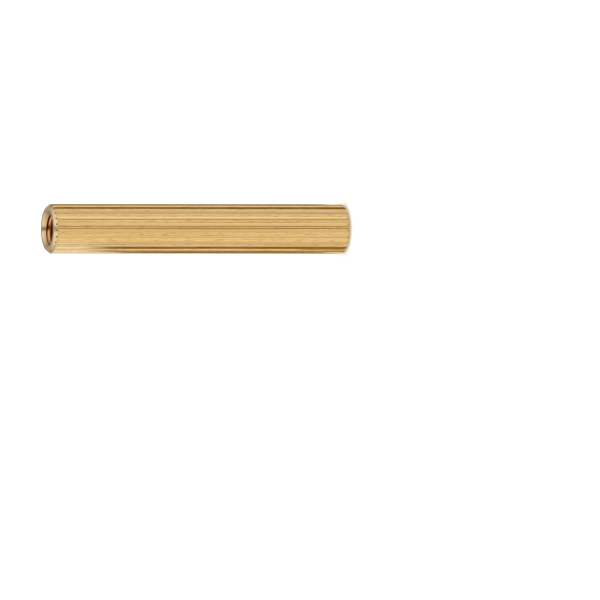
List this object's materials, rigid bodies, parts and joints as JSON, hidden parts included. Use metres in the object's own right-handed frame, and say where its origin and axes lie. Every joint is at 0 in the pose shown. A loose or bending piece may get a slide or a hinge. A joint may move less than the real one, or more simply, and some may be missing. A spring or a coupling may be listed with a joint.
{
  "type": "female standoff",
  "caption": "Round brass spacer with a straight-knurled body, chamfered ends and an M3 internal thread in each end of its through bore.",
  "frame": {"origin": "centre of the lower end face, on the axis of the bore", "axes": "+Z along the bore from the lower end face to the upper one; the spacer stands on its lower end, and the middle of one knurl crest faces +X"},
  "size_m": [0.0048, 0.0048, 0.03],
  "materials": {
    "brass": "bright turned and knurled free-cutting brass, unplated"
  },
  "bodies": {
    "root": {"standoff_body": "brass"}
  },
  "joints": []
}
